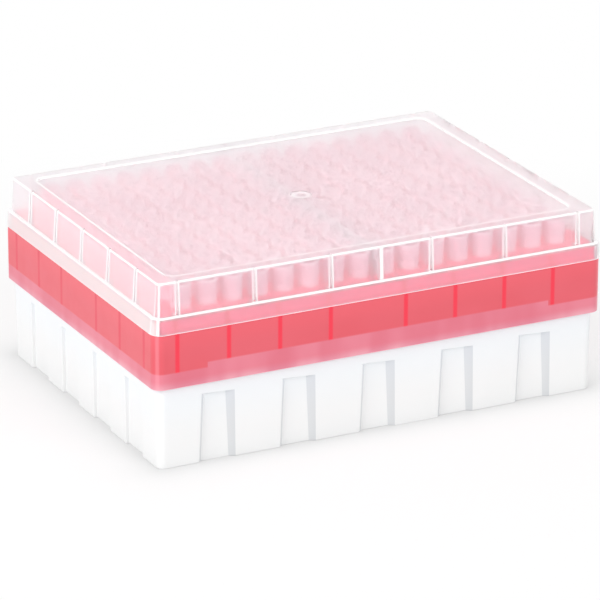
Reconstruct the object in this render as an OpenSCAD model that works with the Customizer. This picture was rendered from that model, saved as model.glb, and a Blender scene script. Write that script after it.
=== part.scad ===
// Box of pipette tips: white base, red tray with a holed deck, clear lift-off lid, 192 tips.
// Origin at the middle of the foot, X along the long side, front towards -Y, Z up, millimetres.
// Every wall is a profile swept round the box at set distances from the same four corner
// centres, so the pieces stay nested. The tray's and the lid's corners are sharper than the base's.

/* [Grid] */
// Distance between neighbouring tips
tip_pitch = 9; // [9:0.25:12]
// Outer tip axis to the foot of an end wall
end_margin = 11; // [10:0.5:20]
// Outer tip axis to the foot of a long wall
side_margin = 6.9; // [6.8:0.1:14]
// Corner radius of the base at its foot
corner_r = 2.5; // [2.5:0.1:5.5]

/* [Base] */
// Height of the base to its rim at the corners
base_h = 33; // [29:1:60]
// Outward lean of the base walls up to the tray
base_draft = 0.4; // [0.2:0.1:0.8]
// Wall thickness of the base
base_wall = 2; // [1.5:0.1:2.4]
// Thickness of the base's floor
floor_t = 1.8; // [1.2:0.1:3]
// Height of the floor's underside above the foot
foot_h = 1; // [0.5:0.5:4]
// Extra height of the rim along the middle of the long walls
rim_rise = 1.8; // [0.6:0.1:3]
// Distance from a corner to the raised rim
rim_in = 17.4; // [10:0.2:24]
// Depth of the wall recesses at the foot
recess_d = 1.1; // [0.8:0.1:1.7]
// Plain band between the recesses and the tray
recess_gap = 4.3; // [2:0.1:8]
// Half width at the foot of a recess in a long wall
recess_long = 6.4; // [5:0.1:8]
// Half width at the foot of a recess in an end wall
recess_end = 6.2; // [5:0.1:8]
// Lean of each side of a long wall's recess, from the foot to its top
recess_lean = 1.1; // [0.2:0.1:1.5]
// Spacing of the recesses in a long wall
recess_long_gap = 28.65; // [22:0.05:29]
// Shift of the long walls' recesses, clockwise round the box
recess_long_shift = 0.7; // [0:0.1:2]
// Spacing of the recesses in an end wall
recess_end_gap = 24.5; // [21:0.5:25]
// Shift of the end walls' recesses, anticlockwise round the box
recess_end_shift = 1.1; // [0:0.1:2]
// Width of the sloping side of a long wall's recess
ramp_long = 2; // [1:0.1:3]
// Width of the steeper side of a long wall's recess
steep_long = 1; // [0.2:0.1:1.5]
// Width of either side of an end wall's recess
steep_end = 0.3; // [0.2:0.1:2]

/* [Tray] */
// Sharpening of the tray's and the lid's corners against the base's
sharper = 1.1; // [0:0.1:1.1]
// Wall thickness of the tray's skirt
skirt_wall = 1.5; // [1.2:0.1:2]
// Gap all round between the base and the skirt
tray_gap = 0.3; // [0.2:0.05:0.6]
// Length of skirt that covers the base
skirt_cover = 5.4; // [3:0.2:9]
// Height of the tray's shoulder above the base's corner rim
shoulder_h = 13; // [9:0.5:24]
// Thickness of the shoulder
shoulder_t = 1.5; // [1.2:0.1:2.5]
// Height of the deck above the shoulder
deck_h = 5.3; // [4.4:0.1:9]
// Thickness of the deck
deck_t = 2; // [1.8:0.1:3]
// Step from the deck down to its edge
deck_step = 1.3; // [1:0.1:1.5]
// Thickness of the tray's wall between shoulder and deck
neck_wall = 1.8; // [1.7:0.1:2.4]
// Diameter of a tip's hole in the deck
hole_d = 6; // [5.9:0.1:6.2]
// Thickness of a rib inside the skirt
rib_t = 1.3; // [1:0.1:2]
// Reach of a rib in from the skirt
rib_reach = 3.2; // [2.6:0.1:3.4]

/* [Lid] */
// Height of the lid above its step
lid_h = 11.25; // [8.5:0.25:20]
// Wall thickness of the lid
lid_wall = 1.2; // [1:0.1:1.4]
// Thickness of the lid's top
top_t = 1.4; // [1.2:0.1:2]
// Gap between the lid and the tray's upper wall
lid_gap = 0.3; // [0.2:0.05:0.4]
// Overhang of the lid's skirt past the tray's skirt
lid_over = 0.2; // [0:0.05:0.5]
// Thickness of the lid's skirt at its foot
lid_skirt = 1.4; // [1.2:0.1:1.6]
// Inward lean of the lid's skirt
skirt_draft = 0.4; // [0.2:0.1:0.6]
// Width of the step round the lid
step_w = 1.2; // [0.8:0.1:1.3]
// Inward lean of the lid's wall above the step
lid_draft = 0.6; // [0.3:0.1:0.8]
// Rounding of the lid's top edge
top_r = 0.7; // [0.4:0.1:1]
// Depth of the sunk panel in the top
panel_d = 0.5; // [0.3:0.1:0.6]
// Panel's edge to an end wall
panel_end = 6; // [4:0.5:12]
// Panel's edge to a long wall
panel_side = 5; // [4:0.5:12]
// Corner radius of the panel
panel_r = 3.5; // [1:0.5:6]
// Diameter of the gate mark in the middle of the panel
gate_d = 7; // [4:0.5:10]
// Depth of the gate mark
gate_depth = 0.3; // [0.1:0.1:0.4]
// Width of a flute in the lid's walls
flute_w = 1.2; // [1.2:0.1:2.6]
// Depth of a flute at the top edge
flute_d = 1; // [0.8:0.1:1.3]
// Spacing of the flutes in an end wall
flute_end_gap = 20.3; // [16:0.1:22]
// Thickness of the wall that divides the lid
divider_t = 1; // [0.8:0.1:1.4]

/* [Tips] */
// Whole length of a tip
tip_len = 48; // [38:1:50]
// Height of a tip's collar above the deck
collar_h = 4.1; // [3:0.1:6]
// Diameter of a tip's collar at its mouth
collar_d = 7; // [6.8:0.1:7.2]
// Diameter of a tip's collar at the deck
collar_foot_d = 6.6; // [6.5:0.1:6.8]
// Diameter of a tip under its collar
body_d = 5.6; // [5.2:0.1:5.6]
// Diameter of a tip where its taper steepens
waist_d = 4.4; // [3.6:0.1:5]
// Height of that place above the tip's end
waist_h = 26; // [18:1:32]
// Diameter of a tip's end
end_d = 1.3; // [1.2:0.1:2]
// Wall thickness of a tip at its mouth
mouth_wall = 0.8; // [0.6:0.1:1]
// Wall thickness of a tip below its collar
tip_wall = 0.5; // [0.4:0.1:0.7]
// Wall thickness of a tip at its end
end_wall = 0.3; // [0.2:0.05:0.4]

/* [Hidden] */
$fn = 48;
columns = 16;
rows = 12;
// amount by which a cutter runs past the face it cuts
past = 2;
// amount by which joined shapes run into each other
bite = 0.3;
// degrees between the flats that round the lid's top edge
arc_step = 22.5;
quarter = 90;

// corner centres of the base, from which every wall is measured
cx = (columns - 1) * tip_pitch / 2 + end_margin - corner_r;
cy = (rows - 1) * tip_pitch / 2 + side_margin - corner_r;

// distances of the walls from those centres, from the foot up
base_r = corner_r + base_draft;
base_in_r = base_r - base_wall;
recess_r = corner_r - recess_d;
skirt_in_r = base_r + tray_gap;
skirt_r = skirt_in_r + skirt_wall;
lid_foot_r = skirt_r + lid_over;
lid_skirt_in_r = lid_foot_r - lid_skirt;
neck_r = lid_skirt_in_r - lid_gap;
neck_in_r = neck_r - neck_wall;
lid_step_r = lid_foot_r - skirt_draft;
lid_wall_r = lid_step_r - step_w;
lid_in_r = lid_wall_r - lid_wall;
lid_top_r = lid_wall_r - lid_draft;
lid_top_in_r = lid_top_r - lid_wall;
field_r = lid_in_r - lid_gap;
flute_r = lid_top_r - flute_d;

// levels from the foot up
skirt_z = base_h - skirt_cover;
recess_z = skirt_z - recess_gap;
rim_z = base_h + rim_rise;
shoulder_z = base_h + shoulder_h;
deck_z = shoulder_z + deck_h;
deck_under_z = deck_z - deck_t;
edge_z = deck_z - deck_step;
ledge_z = edge_z + lid_gap;
step_z = ledge_z + lid_wall;
top_z = step_z + lid_h;
top_under_z = top_z - top_t;
mouth_z = deck_z + collar_h;
end_z = mouth_z - tip_len;

// places along the walls
rim_half = cx + base_r - rim_in;
long_recesses = [for (k = [-2 : 2]) k * recess_long_gap - recess_long_shift];
end_recesses = [for (k = [-1.5 : 1.5]) k * recess_end_gap + recess_end_shift];
long_flutes = [-8, -5, -2, 2, 5, 8] * tip_pitch;
end_flutes = [-2, -1, 0, 1, 2] * flute_end_gap;
long_ribs = [-8, -6, -4, -2, 1, 3, 5, 7] * tip_pitch;
end_ribs = [-5.5, -3.5, -1.5, 1.5, 3.5, 5.5] * tip_pitch;

// a profile (distance from the corner centres, height) swept round the box, with corners
// sharpened by the given amount
module around(sharpen = 0) {
    x = cx + sharpen;
    y = cy + sharpen;
    for (sx = [0, 1], sy = [0, 1])
        mirror([sx, 0, 0])
            mirror([0, sy, 0])
                translate([x, y, 0])
                    rotate_extrude(angle = quarter)
                        translate([-sharpen, 0])
                            children();
    for (sy = [0, 1])
        mirror([0, sy, 0])
            translate([-x, cy, 0])
                rotate([90, 0, 90])
                    linear_extrude(2 * x)
                        children();
    for (sx = [0, 1])
        mirror([sx, 0, 0])
            translate([cx, y, 0])
                rotate([90, 0, 0])
                    linear_extrude(2 * y)
                        children();
}

// a flat plate of the given half sizes and corner radius
module slab(x, y, r, z_low, z_high) {
    translate([0, 0, z_low])
        linear_extrude(z_high - z_low) {
            square([2 * x, 2 * (y - r)], center = true);
            square([2 * (x - r), 2 * y], center = true);
            for (sx = [-1, 1], sy = [-1, 1])
                translate([sx * (x - r), sy * (y - r)])
                    circle(r);
        }
}

// a plate that reaches r past the corner centres
module plate(r, z_low, z_high, sharpen = 0) {
    slab(cx + r, cy + r, r - sharpen, z_low, z_high);
}

// children drawn for the back wall, x along it and y out of it, set on one of the four walls
module on_wall(side) {
    rotate([0, 0, side * quarter])
        translate([0, side % 2 == 0 ? cy : cx, 0])
            children();
}

// children repeated on both long walls and both end walls, half a turn apart
module on_long(places) {
    for (side = [0, 2], p = places)
        on_wall(side)
            translate([-p, 0, 0])
                children();
}

module on_ends(places) {
    for (side = [1, 3], p = places)
        on_wall(side)
            translate([-p, 0, 0])
                children();
}

// half of a recess's cutter: its floor, and one side that slopes by width and leans inwards
module recess_side(half, width, lean) {
    out_r = base_r + past;
    slope = width / recess_d;
    rotate([0, -atan(lean / recess_z), 0])
        translate([0, 0, -past])
            linear_extrude(recess_z + 2 * past)
                polygon([[-2 * half, recess_r], [half - width, recess_r],
                    [half - width + slope * (out_r - recess_r), out_r], [-2 * half, out_r]]);
}

// cutter for one recess, a steeper and a sloping side with a flat floor between them
module recess_cut(half, steep, ramp, lean) {
    intersection() {
        recess_side(half, steep, lean);
        mirror([1, 0, 0])
            recess_side(half, ramp, lean);
        translate([-2 * half, 0, -past])
            cube([4 * half, base_r + past, recess_z + past]);
    }
}

// wall behind one recess, so that the base keeps its thickness there
module recess_back(half) {
    translate([-half - base_wall, recess_r - base_wall, 0])
        cube([2 * (half + base_wall), base_wall + bite, recess_z + base_wall]);
}

module base() {
    color("white")
        difference() {
            union() {
                around()
                    polygon([[base_in_r, 0], [corner_r, 0], [base_r, skirt_z],
                        [base_r, base_h], [base_in_r, base_h]]);
                plate(base_in_r + bite, foot_h, foot_h + floor_t);
                for (s = [-1, 1])
                    translate([-rim_half, s * (cy + base_r - base_wall / 2) - base_wall / 2,
                        base_h - bite])
                        cube([2 * rim_half, base_wall, rim_rise + bite]);
                on_long(long_recesses)
                    recess_back(recess_long);
                on_ends(end_recesses)
                    recess_back(recess_end);
            }
            on_long(long_recesses)
                recess_cut(recess_long, steep_long, ramp_long, recess_lean);
            on_ends(end_recesses)
                recess_cut(recess_end, steep_end, steep_end, 0);
        }
}

// one rib that stands on the base's rim at foot_z, longer than needed at its outer end
module rib(foot_z) {
    translate([-rib_t / 2, skirt_in_r - rib_reach, foot_z])
        cube([rib_t, rib_reach + skirt_wall, deck_under_z + bite - foot_z]);
}

// ribs inside the skirt, cut off inside the walls that they join
module ribs() {
    intersection() {
        union() {
            for (p = long_ribs)
                on_long([p])
                    rib(abs(p) - rib_t / 2 < rim_half ? rim_z : base_h);
            on_ends(end_ribs)
                rib(base_h);
        }
        union() {
            plate(skirt_in_r + bite, base_h - bite, shoulder_z - bite, sharper);
            plate(neck_r - bite, shoulder_z - shoulder_t, deck_under_z + 2 * bite, sharper);
        }
    }
}

module tray() {
    color("red")
        difference() {
            union() {
                around(sharper)
                    polygon([[skirt_in_r, skirt_z], [skirt_r, skirt_z], [skirt_r, shoulder_z],
                        [neck_r, shoulder_z], [neck_r, edge_z], [neck_in_r, edge_z],
                        [neck_in_r, shoulder_z - shoulder_t],
                        [skirt_in_r, shoulder_z - shoulder_t]]);
                plate(field_r, deck_under_z, deck_z, sharper);
                ribs();
            }
            for (i = [0 : columns - 1], j = [0 : rows - 1])
                translate([(i - (columns - 1) / 2) * tip_pitch,
                    (j - (rows - 1) / 2) * tip_pitch, deck_under_z - past])
                    cylinder(d = hole_d, h = deck_t + 2 * past);
        }
}

// wall of the lid behind one flute, from the step to the top, with sloping sides
module flute_back() {
    translate([0, 0, step_z])
        linear_extrude(top_under_z + bite - step_z)
            polygon([[-flute_w / 2, flute_r - lid_wall], [flute_w / 2, flute_r - lid_wall],
                [flute_w / 2 + lid_wall, lid_in_r + bite],
                [-flute_w / 2 - lid_wall, lid_in_r + bite]]);
}

// cutter for one flute, round at the bottom
module flute_cut() {
    translate([0, flute_r + flute_w / 2, step_z])
        cylinder(d = flute_w, h = lid_h + past);
    translate([-flute_w / 2, flute_r + flute_w / 2, step_z])
        cube([flute_w, past, lid_h + past]);
}

module lid() {
    edge = [for (a = [0 : arc_step : quarter])
        [lid_top_r - top_r + top_r * cos(a), top_z - top_r + top_r * sin(a)]];
    color([0.93, 0.93, 0.95, 0.35])
        difference() {
            union() {
                around(sharper)
                    polygon(concat([[lid_skirt_in_r, shoulder_z], [lid_foot_r, shoulder_z],
                        [lid_step_r, step_z], [lid_wall_r, step_z]], edge,
                        [[lid_top_in_r - bite, top_z], [lid_top_in_r - bite, top_under_z],
                        [lid_top_in_r, top_under_z], [lid_in_r, step_z], [lid_in_r, ledge_z],
                        [lid_skirt_in_r, ledge_z]]));
                plate(lid_top_in_r, top_under_z, top_z, sharper);
                translate([-divider_t / 2, -cy - lid_in_r - bite, step_z + lid_gap])
                    cube([divider_t, 2 * (cy + lid_in_r + bite), top_under_z - step_z]);
                on_long(long_flutes)
                    flute_back();
                on_ends(end_flutes)
                    flute_back();
            }
            on_long(long_flutes)
                flute_cut();
            on_ends(end_flutes)
                flute_cut();
            slab(cx + lid_top_r - panel_end, cy + lid_top_r - panel_side, panel_r,
                top_z - panel_d, top_z + past);
            translate([0, 0, top_z - panel_d - gate_depth])
                cylinder(d = gate_d, h = past);
        }
}

// one tip: collar on the deck, body through its hole, two tapers and a bore right through
module tip() {
    rotate_extrude()
        polygon([[end_d / 2, end_z], [waist_d / 2, end_z + waist_h], [body_d / 2, deck_z],
            [collar_foot_d / 2, deck_z], [collar_d / 2, mouth_z],
            [collar_d / 2 - mouth_wall, mouth_z], [body_d / 2 - tip_wall, deck_z],
            [waist_d / 2 - tip_wall, end_z + waist_h], [end_d / 2 - end_wall, end_z]]);
}

// one column of tips, counted from the left end
module tips_col(i) {
    color("whitesmoke")
        for (j = [0 : rows - 1])
            translate([(i - (columns + 1) / 2) * tip_pitch, (j - (rows - 1) / 2) * tip_pitch, 0])
                tip();
}

base();
tray();
lid();
tips_col(1);  // tips_col_01
tips_col(2);  // tips_col_02
tips_col(3);  // tips_col_03
tips_col(4);  // tips_col_04
tips_col(5);  // tips_col_05
tips_col(6);  // tips_col_06
tips_col(7);  // tips_col_07
tips_col(8);  // tips_col_08
tips_col(9);  // tips_col_09
tips_col(10);  // tips_col_10
tips_col(11);  // tips_col_11
tips_col(12);  // tips_col_12
tips_col(13);  // tips_col_13
tips_col(14);  // tips_col_14
tips_col(15);  // tips_col_15
tips_col(16);  // tips_col_16
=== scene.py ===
import math

import bmesh
import bpy
import numpy as np
from mathutils import Euler, Matrix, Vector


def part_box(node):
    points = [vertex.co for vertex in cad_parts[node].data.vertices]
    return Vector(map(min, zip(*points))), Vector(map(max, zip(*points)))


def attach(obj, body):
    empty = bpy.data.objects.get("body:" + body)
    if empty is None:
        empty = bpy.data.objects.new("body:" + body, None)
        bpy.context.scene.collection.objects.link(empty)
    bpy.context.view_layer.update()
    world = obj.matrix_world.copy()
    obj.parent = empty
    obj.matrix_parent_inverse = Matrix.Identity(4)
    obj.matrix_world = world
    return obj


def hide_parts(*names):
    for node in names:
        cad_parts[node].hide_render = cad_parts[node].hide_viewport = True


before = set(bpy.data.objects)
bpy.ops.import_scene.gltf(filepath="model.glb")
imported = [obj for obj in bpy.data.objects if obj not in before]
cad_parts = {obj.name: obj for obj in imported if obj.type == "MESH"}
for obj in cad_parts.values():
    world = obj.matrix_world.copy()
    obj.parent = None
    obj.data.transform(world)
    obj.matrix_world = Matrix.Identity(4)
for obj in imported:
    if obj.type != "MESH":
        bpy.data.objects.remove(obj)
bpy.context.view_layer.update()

# --- Base -------------------------------------------------------------------------------------
# The white lower box: one moulding in opaque polypropylene with upright recesses round its
# walls, open at the foot. It stands on its walls' lower edge and the tray sits on its rim.

# named sizes are in millimetres, and the meshes in metres
MM = 0.001
WALL_HALF, WALL_R = (78.5, 56.4), 2.5
# no recess is this deep, reaches this height or stands this far along a long wall
RECESS_D, RECESS_TOP, LAST_RECESS = 1.3, 24.0, 72.0


def past(place, half, radius):
    """How far points lie outside a rounded rectangle of the given half sizes, seen from above."""
    inner = np.abs(np.asarray(place)[..., :2]) - (np.array(half) - radius)
    beyond = np.linalg.norm(np.maximum(inner, 0), axis=-1)
    return beyond + np.minimum(inner.max(-1), 0) - radius


def softened(node, name, width, segments, chosen):
    """A copy of a CAD node with its loose triangles joined and its flat regions made one face
    each. An edge sharper than 30 degrees is rounded over the width times what chosen says for
    its middle, or stays sharp where that is 0."""
    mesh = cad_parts[node].data.copy()
    mesh.name = name
    mesh.materials.clear()
    shape = bmesh.new()
    shape.from_mesh(mesh)
    bmesh.ops.remove_doubles(shape, verts=shape.verts, dist=0.002 * MM)
    bmesh.ops.dissolve_limit(
        shape, angle_limit=math.radians(0.4), verts=shape.verts, edges=shape.edges
    )
    rounded = shape.edges.layers.float.new("bevel_weight_edge")
    for edge in shape.edges:
        if edge.calc_face_angle(0.0) > math.radians(30.0):
            place = (edge.verts[0].co + edge.verts[1].co) / 2
            edge[rounded] = float(chosen(np.array(place) / MM))
            edge.smooth = edge[rounded] > 0
    for face in shape.faces:
        face.smooth = True
    shape.to_mesh(mesh)
    shape.free()
    piece = bpy.data.objects.new(name, mesh)
    bpy.context.scene.collection.objects.link(piece)
    rounding = piece.modifiers.new("rounded_edges", "BEVEL")
    rounding.width = width * MM
    rounding.segments = segments
    rounding.limit_method = "WEIGHT"
    rounding.use_clamp_overlap = True
    flats = piece.modifiers.new("flat_faces", "WEIGHTED_NORMAL")
    flats.weight = 100
    flats.keep_sharp = True
    return piece


def faces_of(piece):
    """The middles in millimetres and the normals of a piece's faces, as two arrays."""
    count = len(piece.data.polygons)
    middle, normal = np.empty(3 * count), np.empty(3 * count)
    piece.data.polygons.foreach_get("center", middle)
    piece.data.polygons.foreach_get("normal", normal)
    return middle.reshape(-1, 3) / MM, normal.reshape(-1, 3)


class Finish:
    """A node material under construction: one Principled shader, with its even values on its
    own sockets and its patterns read from Object coordinates."""

    def __init__(self, name, **sockets):
        self.material = bpy.data.materials.new(name)
        self.material.use_nodes = True
        self.tree = self.material.node_tree
        self.shader = self.tree.nodes["Principled BSDF"]
        for socket, value in sockets.items():
            self.shader.inputs[socket.replace("_", " ")].default_value = value
        self.place = self.node("ShaderNodeTexCoord").outputs["Object"]

    def node(self, kind, **values):
        """A new node, with its properties and its sockets' values given by name."""
        made = self.tree.nodes.new(kind)
        for key, value in values.items():
            if hasattr(made, key):
                setattr(made, key, value)
            else:
                made.inputs[key.replace("_", " ")].default_value = value
        return made

    def link(self, source, target):
        """Leads one socket into another."""
        self.tree.links.new(source, target)

    def paint(self, source, socket="Base Color"):
        """Leads a pattern into one of the shader's sockets."""
        self.link(source, self.shader.inputs[socket])

    def work(self, operation, *values):
        """One sum, of a Math node's kind, over sockets and plain numbers."""
        made = self.node("ShaderNodeMath", operation=operation)
        for slot, value in zip(made.inputs, values):
            if isinstance(value, (int, float)):
                slot.default_value = value
            else:
                self.link(value, slot)
        return made.outputs["Value"]

    def axis(self, letter):
        """One Object coordinate in millimetres."""
        parts = self.node("ShaderNodeSeparateXYZ")
        self.link(self.place, parts.inputs["Vector"])
        return self.work("DIVIDE", parts.outputs[letter], MM)

    def ranged(self, value, lowest, highest, low, high):
        """A number that runs from low to high as the value runs from lowest to highest."""
        made = self.node("ShaderNodeMapRange")
        for slot, number in zip(made.inputs[1:5], (lowest, highest, low, high)):
            slot.default_value = number
        self.link(value, made.inputs["Value"])
        return made.outputs["Result"]

    def soft_step(self, value, start, end):
        """0 before the start, 1 past the end, smooth between. The end may be the lower one."""
        made = self.node("ShaderNodeMapRange", interpolation_type="SMOOTHSTEP")
        for slot, number in zip(("From Min", "From Max"), (start, end)):
            made.inputs[slot].default_value = number
        self.link(value, made.inputs["Value"])
        return made.outputs["Result"]

    def noise(self, scale, detail=2.0, stretch=(1, 1, 1)):
        """Soft noise with the given number of lumps a metre, stretched along each axis."""
        mapping = self.node("ShaderNodeMapping")
        mapping.inputs["Scale"].default_value = stretch
        self.link(self.place, mapping.inputs["Vector"])
        made = self.node("ShaderNodeTexNoise", Scale=scale, Detail=detail)
        self.link(mapping.outputs["Vector"], made.inputs["Vector"])
        return made.outputs["Fac"]

    def cloud(self, scale, detail=3.0):
        """Soft patches of 0 and 1."""
        return self.soft_step(self.noise(scale, detail), 0.3, 0.7)

    def mixed(self, factor, first, second):
        """A colour that runs from the first to the second as the factor runs from 0 to 1."""
        made = self.node("ShaderNodeMix", data_type="RGBA")
        for slot, colour in zip((made.inputs[6], made.inputs[7]), (first, second)):
            if isinstance(colour, tuple):
                slot.default_value = (*colour, 1.0)
            else:
                self.link(colour, slot)
        self.link(factor, made.inputs[0])
        return made.outputs[2]

    def tinted(self, first, second):
        """The product of two colours."""
        made = self.node("ShaderNodeMix", data_type="RGBA", blend_type="MULTIPLY")
        made.inputs[0].default_value = 1.0
        self.link(first, made.inputs[6])
        self.link(second, made.inputs[7])
        return made.outputs[2]

    def uneven_gloss(self, scale, low, high):
        """The roughness wanders between two values."""
        self.paint(self.ranged(self.noise(scale), 0.3, 0.7, low, high), "Roughness")

    def grain(self, scale, strength):
        """The fine grain of the mould's steel, 0.05 mm deep at full strength."""
        made = self.node("ShaderNodeBump", Strength=strength, Distance=0.05 * MM)
        self.link(self.noise(scale, 3.0), made.inputs["Height"])
        self.paint(made.outputs["Normal"], "Normal")


def white_plastic(name, foot, rim):
    """Satin white, with the first colour at the foot and the second under the tray."""
    made = Finish(name, Roughness=0.42, IOR=1.49)
    tone = made.mixed(made.soft_step(made.axis("Z"), 8.0, 28.0), foot, rim)
    made.paint(made.tinted(tone, made.mixed(made.cloud(38.0), (0.985,) * 3, (1.0,) * 3)))
    made.uneven_gloss(160.0, 0.38, 0.48)
    made.grain(900.0, 0.12)
    return made.material


base = softened(
    "base", "base_shell", 0.3, 3, lambda place: past(place, WALL_HALF, WALL_R) > -RECESS_D
)
# painted shade: the recesses' sloping sides are painted a little greyer than the walls
for name, foot, rim in (
    ("white_pp", (0.845, 0.85, 0.85), (0.825, 0.86, 0.885)),
    ("white_pp_painted_shade", (0.70, 0.715, 0.73), (0.70, 0.735, 0.78)),
):
    base.data.materials.append(white_plastic(name, foot, rim))
middle, normal = faces_of(base)
sloped = np.abs(normal[:, :2]).min(1) > 0.3
sloped &= (np.abs(middle[:, 0]) < LAST_RECESS) & (middle[:, 2] < RECESS_TOP)
base.data.polygons.foreach_set("material_index", sloped.astype(np.int32))
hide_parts("base")
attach(base, "box")

# --- Tray -------------------------------------------------------------------------------------
# The red tray: one moulding in translucent polypropylene, a deck of tip sockets with a deep
# skirt. Ribs inside its skirt stand on the base's rim and show through as deeper red lines.

PITCH = 9.0
RIM, RAISED_RIM, RAISED_HALF = 33.0, 34.8, 61.5
SKIRT_HALF, SKIRT_R, SKIRT_FOOT, SHOULDER = (80.7, 58.6), 3.6, 27.6, 46.0
# how far along the wall from its own place a rib seems to stand
SEEN_SHIFT = 0.9


def product(made, first, *others):
    """The product of several factors."""
    for other in others:
        first = made.work("MULTIPLY", first, other)
    return first


def away(made, letter):
    """The distance in millimetres from the middle of the box along one axis."""
    return made.work("ABSOLUTE", made.axis(letter))


def window(made, value, low, high, soft):
    """1 between low and high, 0 outside them, soft at both ends."""
    rise = made.soft_step(value, low - soft, low + soft)
    return made.work("SUBTRACT", rise, made.soft_step(value, high - soft, high + soft))


def corner_angle(made, half, radius):
    """The angle in degrees round a rounded rectangle's corner: 0 where the end wall meets the
    corner, 90 where the long wall does."""
    sides = [
        made.work("SUBTRACT", away(made, letter), size - radius)
        for letter, size in zip("YX", half[::-1])
    ]
    return made.work("DEGREES", made.work("ARCTAN2", *sides))


def rib_lines(made, along, end):
    """1 on the ribs, two pitches apart: on a long wall at 8, 6, 4 and 2 pitches one way and 1,
    3, 5 and 7 the other, and on an end wall at 1.5, 3.5 and 5.5 pitches both ways."""
    right = made.work("MULTIPLY", made.work("GREATER_THAN", along, 0.0), PITCH)
    on_long = made.work("ADD", along, right)
    on_end = made.work("ADD", made.work("ABSOLUTE", along), PITCH / 2)
    choice = made.node("ShaderNodeMix", data_type="FLOAT")
    for slot, value in zip((choice.inputs[0], *choice.inputs[2:4]), (end, on_long, on_end)):
        made.link(value, slot)
    run = made.work("ABSOLUTE", choice.outputs[0])
    turn = made.work("MODULO", made.work("ADD", run, PITCH), 2 * PITCH)
    near = made.work("ABSOLUTE", made.work("SUBTRACT", turn, PITCH))
    return product(made, made.soft_step(near, 1.15, 0.35), made.work("GREATER_THAN", run, PITCH))


def above_rim(made, height, along, end):
    """1 over the base's rim, which is raised along the middle of the long walls."""
    raised = made.work("LESS_THAN", made.work("ABSOLUTE", along), RAISED_HALF)
    raised = product(made, raised, made.work("SUBTRACT", 1.0, end))
    rim = made.work("ADD", made.work("MULTIPLY", raised, RAISED_RIM - RIM), RIM)
    return made.soft_step(made.work("SUBTRACT", height, rim), -0.35, 0.35)


def red_plastic():
    """Satin red. Over the base's rim it is deeper along the ribs, and below the rim the white
    base behind makes it paler, in soft streaks. The neck over the shoulder is painted brighter,
    as painted light, and the corners and the foot's edge carry painted highlights."""
    made = Finish("red_tray", Roughness=0.3, IOR=1.49)
    wall = made.node("ShaderNodeAttribute", attribute_name="along")
    parts = made.node("ShaderNodeSeparateXYZ")
    made.link(wall.outputs["Vector"], parts.inputs["Vector"])
    along, end = made.work("ADD", parts.outputs["X"], SEEN_SHIFT), parts.outputs["Y"]
    height = made.axis("Z")
    over = above_rim(made, height, along, end)
    high = made.mixed(made.cloud(30.0), (0.72, 0.092, 0.12), (0.735, 0.106, 0.138))
    high = made.mixed(made.soft_step(height, 38.0, SHOULDER - 0.5), high, (0.78, 0.106, 0.138))
    # painted light: the neck over the shoulder is painted a brighter red
    painted_light_neck = made.soft_step(height, SHOULDER - 0.1, SHOULDER + 0.1)
    high = made.mixed(painted_light_neck, high, (0.95, 0.12, 0.215))
    streak = made.soft_step(made.noise(75.0, 2.0, (1, 1, 0.25)), 0.35, 0.65)
    low = made.mixed(streak, (0.7, 0.155, 0.215), (0.75, 0.205, 0.27))
    pale = made.mixed(streak, (0.69, 0.21, 0.285), (0.79, 0.36, 0.43))
    low = made.mixed(made.soft_step(height, 30.8, SKIRT_FOOT - 0.2), low, pale)
    colour = made.mixed(over, low, high)
    deep = made.mixed(end, (0.85, 0.03, 0.064), (0.725, 0.045, 0.082))
    colour = made.mixed(product(made, rib_lines(made, along, end), over), colour, deep)
    # painted highlights: a soft pale band on the rounded corners, and a thin one on the foot's
    # edge
    corner_highlight = window(made, corner_angle(made, SKIRT_HALF, SKIRT_R), 38.0, 58.0, 6.0)
    colour = made.mixed(product(made, corner_highlight, 0.3), colour, (0.9, 0.36, 0.42))
    # painted highlight along the skirt's foot edge
    foot = made.soft_step(height, SKIRT_FOOT + 0.35, SKIRT_FOOT + 0.15)
    made.paint(made.mixed(foot, colour, (0.9, 0.42, 0.48)))
    made.uneven_gloss(220.0, 0.29, 0.36)
    made.grain(1100.0, 0.1)
    return made.material


def store_run(piece):
    """Stores two numbers on each face's corners: how far the corner lies along its wall from
    the wall's middle in millimetres, to the right on a long wall and to the left on an end
    wall, and 1 on an end wall. A face belongs to the wall that its normal points out of."""
    mesh = piece.data
    corners = np.empty(len(mesh.loops), np.int32)
    mesh.loops.foreach_get("vertex_index", corners)
    points = np.empty(3 * len(mesh.vertices))
    mesh.vertices.foreach_get("co", points)
    points = points.reshape(-1, 3)[corners] / MM
    sizes = np.empty(len(mesh.polygons), np.int32)
    mesh.polygons.foreach_get("loop_total", sizes)
    facing = np.repeat(faces_of(piece)[1], sizes, axis=0)
    on_end = np.abs(facing[:, 0]) > np.abs(facing[:, 1])
    run = np.zeros((len(corners), 3), np.float32)
    run[:, 0] = -np.where(on_end, points[:, 1], points[:, 0])
    run[:, 0] *= np.sign(np.where(on_end, facing[:, 0], facing[:, 1]))
    run[:, 1] = on_end
    mesh.attributes.new("along", "FLOAT_VECTOR", "CORNER").data.foreach_set("vector", run.ravel())


def skirt_foot_edge(place):
    """Only the skirt's outer edge at its foot is rounded."""
    return place[2] < SKIRT_FOOT + 0.1 and past(place, SKIRT_HALF, SKIRT_R) > -0.5


tray = softened("tray", "tray_shell", 0.25, 2, skirt_foot_edge)
tray.data.materials.append(red_plastic())
store_run(tray)
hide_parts("tray")
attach(tray, "box")

# --- Tips -------------------------------------------------------------------------------------
# The pipette tips: natural polypropylene cones that hang in the deck by a collar. The collar
# is hollow down to the seat of the pipette's nozzle, so its lower part looks denser.

DECK, SEAT = 50.6, 53.8
# the CAD's collars end low, and the visible ones are raised to their full height
MOUTH, TALL_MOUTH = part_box("tips_col_01")[1][2] / MM, 59.4


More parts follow.
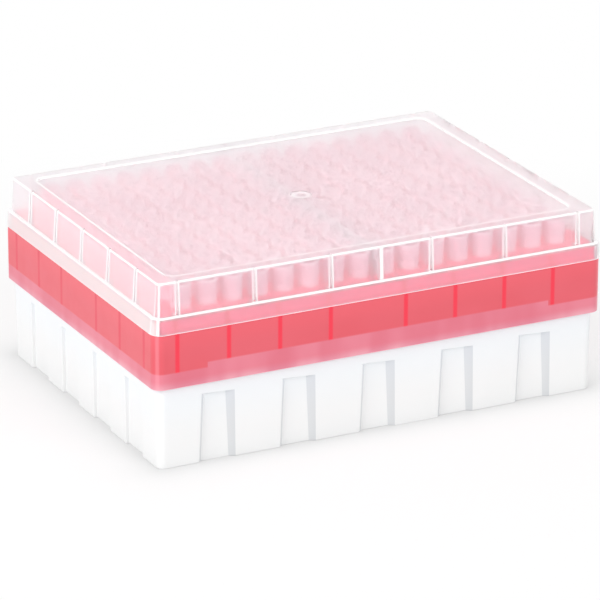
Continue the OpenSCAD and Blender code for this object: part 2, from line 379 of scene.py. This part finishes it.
def lifted(piece, rise, chosen):
    """Moves up by the rise every vertex whose height is a chosen one."""
    places = np.empty(3 * len(piece.data.vertices))
    piece.data.vertices.foreach_get("co", places)
    places[2::3] += np.where(chosen(places[2::3] / MM), rise * MM, 0.0)
    piece.data.vertices.foreach_set("co", places)
    piece.data.update()


def lamps_through(made, colour, share):
    """Lets that share of the lamps' light pass in the given colour, as a thin wall does."""
    mix = made.node("ShaderNodeMixShader")
    paths = made.node("ShaderNodeLightPath")
    clear = made.node("ShaderNodeBsdfTransparent", Color=(*colour, 1.0))
    made.link(product(made, paths.outputs["Is Shadow Ray"], share), mix.inputs["Fac"])
    made.link(made.shader.outputs["BSDF"], mix.inputs[1])
    made.link(clear.outputs["BSDF"], mix.inputs[2])
    made.link(mix.outputs["Shader"], made.tree.nodes["Material Output"].inputs["Surface"])


def natural_plastic():
    """Clear white, painted pink for the tray's red light in it, paler below the seat and at the
    mouth.
    """
    made = Finish("tip_pp", Roughness=0.33, IOR=1.49)
    height = made.axis("Z")
    # painted light: the tips' pink stands in for red light from the tray
    hollow = made.mixed(made.cloud(90.0, 2.0), (0.84, 0.44, 0.53), (0.86, 0.48, 0.57))
    dense = made.mixed(made.soft_step(height, DECK, SEAT), (0.88, 0.5, 0.59), (0.9, 0.6, 0.68))
    colour = made.mixed(made.soft_step(height, SEAT - 0.2, SEAT + 0.2), dense, hollow)
    mouth = made.soft_step(height, TALL_MOUTH - 0.8, TALL_MOUTH - 0.2)
    made.paint(made.mixed(mouth, colour, (0.9, 0.66, 0.72)))
    made.uneven_gloss(400.0, 0.29, 0.37)
    lamps_through(made, (1.0, 0.93, 0.95), 0.95)
    return made.material


tip_finish = natural_plastic()
for node in sorted(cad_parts):
    if node.startswith("tips_col_"):
        column = softened(node, node + "_tall", 0.1, 1, lambda place: 0)
        lifted(column, TALL_MOUTH - MOUTH, lambda height: height > MOUTH - 0.01)
        column.data.materials.append(tip_finish)
        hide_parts(node)
        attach(column, "box")

# --- Lid --------------------------------------------------------------------------------------
# The clear lid: one thin moulding in slightly milky polypropylene that lifts off. Its edges,
# flutes and step show painted highlights: white lines where they would gather light.

TOP, STEP, LID_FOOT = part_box("lid")[1][2] / MM, 51.5, SHOULDER
FOOT_HALF, FOOT_R = np.array(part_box("lid")[1][:2]) / MM, 3.8
TOP_HALF, TOP_R = FOOT_HALF - 2.2, 1.6
PANEL_HALF, PANEL_R = TOP_HALF - (6.0, 5.0), 3.5
# the white ring in the gate mark
GATE_IN_R, GATE_OUT_R = 1.8, 3.1
FLUTE_GAP, FLUTE_END_GAP, FIRST_FLUTE = 27.0, 20.3, 18.0
# half of the dividing wall's thickness, and the thickness of the top
DIVIDER_HALF, TOP_T = 0.5, 1.4
# a hair's gap keeps the foot's face off the tray's shoulder, which it shares in the CAD
FOOT_GAP = 0.06


def largest(made, first, *others):
    """The largest of several factors."""
    for other in others:
        first = made.work("MAXIMUM", first, other)
    return first


def past_outline(made, half, radius):
    """How far a point of the surface lies outside a rounded rectangle, in millimetres."""
    x, y = (
        made.work("SUBTRACT", away(made, letter), size - radius)
        for letter, size in zip("XY", half)
    )
    squares = [made.work("POWER", made.work("MAXIMUM", side, 0.0), 2.0) for side in (x, y)]
    beyond = made.work("SQRT", made.work("ADD", *squares))
    inside = made.work("MINIMUM", made.work("MAXIMUM", x, y), 0.0)
    return made.work("SUBTRACT", made.work("ADD", beyond, inside), radius)


def flute_lines(made, height, wall, letter, gap, first, spread):
    """1 on the painted highlights along the flutes of a pair of walls, which stand a gap apart
    along one axis from the first one. A line is weaker in its middle, where the flute is clear,
    but not where it meets the top."""
    # the whole gap that is added keeps the remainder positive
    moved = made.work("ADD", away(made, letter), gap + gap / 2 - first)
    near = made.work("SUBTRACT", made.work("MODULO", moved, gap), gap / 2)
    near = made.work("ABSOLUTE", near)
    core = made.ranged(near, 0.35, 0.6, 0.6, 0.95)
    core = largest(made, core, made.soft_step(height, TOP - 1.6, TOP - 1.0))
    return product(made, made.soft_step(near, *spread), core, wall)


def wall_lines(made, height):
    """The painted highlights, as white lines, down the lid's walls, and the end walls' flutes by
    themselves.
    """
    upright = window(made, height, STEP, TOP - 0.4, 0.1)
    long_wall, end_wall = (
        product(made, made.work("GREATER_THAN", away(made, letter), size - 1.15), upright)
        for letter, size in zip("YX", TOP_HALF[::-1])
    )
    flutes = flute_lines(made, height, long_wall, "X", FLUTE_GAP, FIRST_FLUTE, (1.05, 0.75))
    end_flutes = flute_lines(made, height, end_wall, "Y", FLUTE_END_GAP, 0.0, (1.9, 1.3))
    # the dividing wall's ends meet the long walls in a line, painted as a highlight
    end_line = made.soft_step(away(made, "X"), DIVIDER_HALF + 0.25, DIVIDER_HALF + 0.1)
    end_line = product(made, end_line, long_wall, 0.9)
    # painted highlights: two light lines round each rounded corner
    angle = corner_angle(made, TOP_HALF, TOP_R)
    corner_highlight = largest(
        made, window(made, angle, 2.0, 15.0, 1.5), window(made, angle, 45.0, 60.0, 1.5)
    )
    lines = largest(
        made, flutes, product(made, end_flutes, 0.3), end_line, product(made, corner_highlight, 0.9)
    )
    return lines, end_flutes


def level_lines(made, height):
    """The painted highlights, as white lines, round the top, the panel, the gate mark, the step
    and the foot.
    """
    edge = window(made, past_outline(made, TOP_HALF, TOP_R), -0.45, 9.0, 0.12)
    edge = product(made, edge, made.soft_step(height, TOP - 0.6, TOP - 0.45))
    panel = window(made, past_outline(made, PANEL_HALF, PANEL_R), -0.3, 0.9, 0.15)
    squares = [made.work("POWER", made.axis(letter), 2.0) for letter in "XY"]
    centre = made.work("SQRT", made.work("ADD", *squares))
    gate = window(made, centre, GATE_IN_R, GATE_OUT_R, 0.4)
    on_top = made.soft_step(height, TOP - 1.0, TOP - 0.8)
    marks = product(made, largest(made, panel, gate), 0.9, on_top)
    out = past_outline(made, FOOT_HALF, FOOT_R)
    step = window(made, height, STEP - 0.3, STEP + 0.12, 0.08)
    step = product(made, step, made.soft_step(out, -2.2, -1.9))
    foot = made.soft_step(height, LID_FOOT + 0.35, LID_FOOT + 0.2)
    foot = product(made, foot, made.soft_step(out, -0.35, -0.25), 0.8)
    return largest(made, edge, marks, step, foot)


def milky_plastic():
    """Clear but milky: it hides more of what is behind it the flatter it is looked along, and its
    lines are painted white highlights. Round the tray's neck it is painted pink, for the red
    light that it takes up from the tray."""
    made = Finish("clear_lid", Roughness=0.4, IOR=1.1, Coat_Weight=0.4, Coat_Roughness=0.2)
    height = made.axis("Z")
    lines, end_flutes = wall_lines(made, height)
    painted_highlights = largest(made, level_lines(made, height), lines)
    body = made.mixed(made.cloud(45.0), (0.9, 0.88, 0.895), (0.92, 0.905, 0.915))
    # painted light: the skirt round the tray's neck is tinted pink for the red light it takes up
    # from the tray, paler on the end walls
    skirt = made.soft_step(height, STEP - 0.5, STEP - 1.5)
    end_wall = made.soft_step(away(made, "X"), FOOT_HALF[0] - 2.0, FOOT_HALF[0] - 1.5)
    tint = made.mixed(end_wall, (0.93, 0.8, 0.86), (0.96, 0.93, 0.93))
    made.paint(made.mixed(painted_highlights, made.mixed(skirt, body, tint), (0.97, 0.965, 0.965)))
    # the thin dividing wall inside is a pale veil that fades downwards
    divider = product(
        made,
        made.work("LESS_THAN", away(made, "X"), DIVIDER_HALF + 0.05),
        made.soft_step(height, TOP - TOP_T + 0.1, TOP - TOP_T - 0.05),
        made.work("LESS_THAN", away(made, "Y"), PANEL_HALF[1] + 3.0),
    )
    unseen = made.ranged(height, DECK, TOP - 1.5, 0.9, 0.55)
    made.paint(made.work("SUBTRACT", 1.0, product(made, divider, unseen)), "Alpha")
    weight = made.node("ShaderNodeLayerWeight", Blend=0.5)
    veil = made.ranged(weight.outputs["Facing"], 0.15, 0.6, 0.18, 0.36)
    # the top plate is clearer than the walls, and blurs less
    top_plate = (TOP - TOP_T - 0.3, TOP - TOP_T + 0.1)
    thin = made.ranged(height, *top_plate, 1.0, 0.55)
    hidden = largest(
        made,
        product(made, veil, thin),
        product(made, painted_highlights, 0.93),
        product(made, end_flutes, 0.95),
        divider,
        product(made, skirt, end_wall, 0.5),
    )
    clear = made.work("SUBTRACT", 1.0, hidden)
    made.paint(clear, "Transmission Weight")
    blur = made.ranged(height, *top_plate, 0.38, 0.345)
    ripple = made.ranged(made.noise(240.0), 0.3, 0.7, -0.02, 0.02)
    made.paint(made.work("ADD", blur, ripple), "Roughness")
    lamps_through(made, (0.98, 0.97, 0.98), clear)
    made.grain(500.0, 0.08)
    return made.material


def lid_rounding(place):
    """The step's outer edge is rounded over the whole width, the panel's and the gate mark's
    less, and the foot and the small edges at the flutes not at all."""
    out = past(place, FOOT_HALF, FOOT_R)
    if abs(place[2] - STEP) < 0.1:
        return float(out > -0.7)
    return 0.5 * float(place[2] > TOP - 0.85 and out < -7.0)


lid = softened("lid", "lid_shell", 0.3, 2, lid_rounding)
lid.data.materials.append(milky_plastic())
lifted(lid, FOOT_GAP, lambda height: height < LID_FOOT + 0.01)
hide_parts("lid")
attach(lid, "lid")

# --- Studio -----------------------------------------------------------------------------------
# White paper under a white tent of light, with a broad soft lamp on the left, one above and
# one in front. Light that goes straight to the eye sees both plain white.

# up to the first distance from the middle, in metres, the paper shows the box's shadow most,
# and from the second on it is plain white
SHADOW_TO, WHITE_FROM = 0.09, 0.24
# the painted shade round the base halves over this many millimetres
SHADE_REACH = 3.5
TENT_LIGHT = 0.62


def straight_rays(tree):
    """1 for light that comes to the eye straight, off gloss or through clear plastic."""
    paths = tree.nodes.new("ShaderNodeLightPath")
    found = paths.outputs["Is Camera Ray"]
    for ray in ("Is Glossy Ray", "Is Transmission Ray"):
        either = tree.nodes.new("ShaderNodeMath")
        either.operation = "MAXIMUM"
        tree.links.new(found, either.inputs[0])
        tree.links.new(paths.outputs[ray], either.inputs[1])
        found = either.outputs["Value"]
    return found


def shared_out(tree, factor, first, second, target):
    """Leads two shaders into a target, the second by the factor's share."""
    mix = tree.nodes.new("ShaderNodeMixShader")
    tree.links.new(factor, mix.inputs["Fac"])
    tree.links.new(first, mix.inputs[1])
    tree.links.new(second, mix.inputs[2])
    tree.links.new(mix.outputs["Shader"], target)


def white_paper():
    """Matt white paper with a painted shadow that darkens it close to the base's walls."""
    made = Finish("paper", Roughness=0.9, Specular_IOR_Level=0.0)
    distance = made.node("ShaderNodeVectorMath", operation="LENGTH")
    made.link(made.place, distance.inputs[0])
    far_off = made.ranged(distance.outputs["Value"], SHADOW_TO, WHITE_FROM, 0.45, 1.0)
    # painted shadow: the paper's colour darkens towards the base's walls
    gap = made.work("DIVIDE", past_outline(made, WALL_HALF, WALL_R), SHADE_REACH)
    shade = made.work("POWER", 0.5, made.work("MAXIMUM", gap, 0.0))
    made.paint(made.mixed(shade, (0.87,) * 3, (0.72,) * 3))
    glow = made.node("ShaderNodeEmission", Strength=1.0)
    made.link(made.mixed(shade, (1.0,) * 3, (0.83,) * 3), glow.inputs["Color"])
    shared_out(
        made.tree,
        product(made, straight_rays(made.tree), far_off),
        made.shader.outputs["BSDF"],
        glow.outputs["Emission"],
        made.tree.nodes["Material Output"].inputs["Surface"],
    )
    made.material.cycles.emission_sampling = "NONE"
    return made.material


bpy.ops.mesh.primitive_plane_add(size=8.0, location=(0, 0, 0))
floor = bpy.context.object
floor.name = "floor"
floor.data.materials.append(white_paper())

tent = bpy.data.worlds.new("tent")
bpy.context.scene.world = tent
tent.use_nodes = True
sky = tent.node_tree
light = sky.nodes["Background"]
view = sky.nodes.new("ShaderNodeBackground")
for background, strength in ((light, TENT_LIGHT), (view, 1.0)):
    background.inputs["Color"].default_value = (1, 1, 1, 1)
    background.inputs["Strength"].default_value = strength
shared_out(
    sky,
    straight_rays(sky),
    light.outputs["Background"],
    view.outputs["Background"],
    sky.nodes["World Output"].inputs["Surface"],
)


def soft_lamp(name, place, size, power):
    """A square lamp of the given side that faces the middle of the box."""
    data = bpy.data.lights.new(name, "AREA")
    data.size = size
    data.energy = power
    lamp = bpy.data.objects.new(name, data)
    bpy.context.scene.collection.objects.link(lamp)
    back = np.array(place) / np.linalg.norm(place)
    right = np.cross((0, 0, 1), back)
    right /= np.linalg.norm(right)
    turn = Matrix(np.column_stack([right, np.cross(back, right), back]).tolist()).to_4x4()
    turn.translation = place
    lamp.matrix_world = turn


soft_lamp("left_lamp", (-1.5, -0.5, 0.9), 1.2, 16.0)
soft_lamp("top_lamp", (0.2, 0.1, 1.9), 1.4, 9.0)
soft_lamp("front_lamp", (0.5, -1.7, 0.8), 1.2, 9.0)

# --- Camera -----------------------------------------------------------------------------------
# A long lens to the front left, a little above the box.

CAMERA_PLACE = (-0.67298, -1.32504, 0.58871)
# in degrees: up from straight down, over to the side, and round from facing the front wall
CAMERA_TILT, CAMERA_ROLL, CAMERA_TURN = 69.234, -0.1902, -26.8475

lens = bpy.data.cameras.new("camera")
lens.sensor_width = 36.0
lens.lens = 288.41
lens.clip_end = 20.0
camera = bpy.data.objects.new("camera", lens)
bpy.context.scene.collection.objects.link(camera)
angles = Euler([math.radians(angle) for angle in (CAMERA_TILT, CAMERA_ROLL, CAMERA_TURN)])
camera.matrix_world = Matrix.LocRotScale(CAMERA_PLACE, angles, None)
bpy.context.scene.camera = camera
bpy.context.scene.view_settings.view_transform = "Standard"
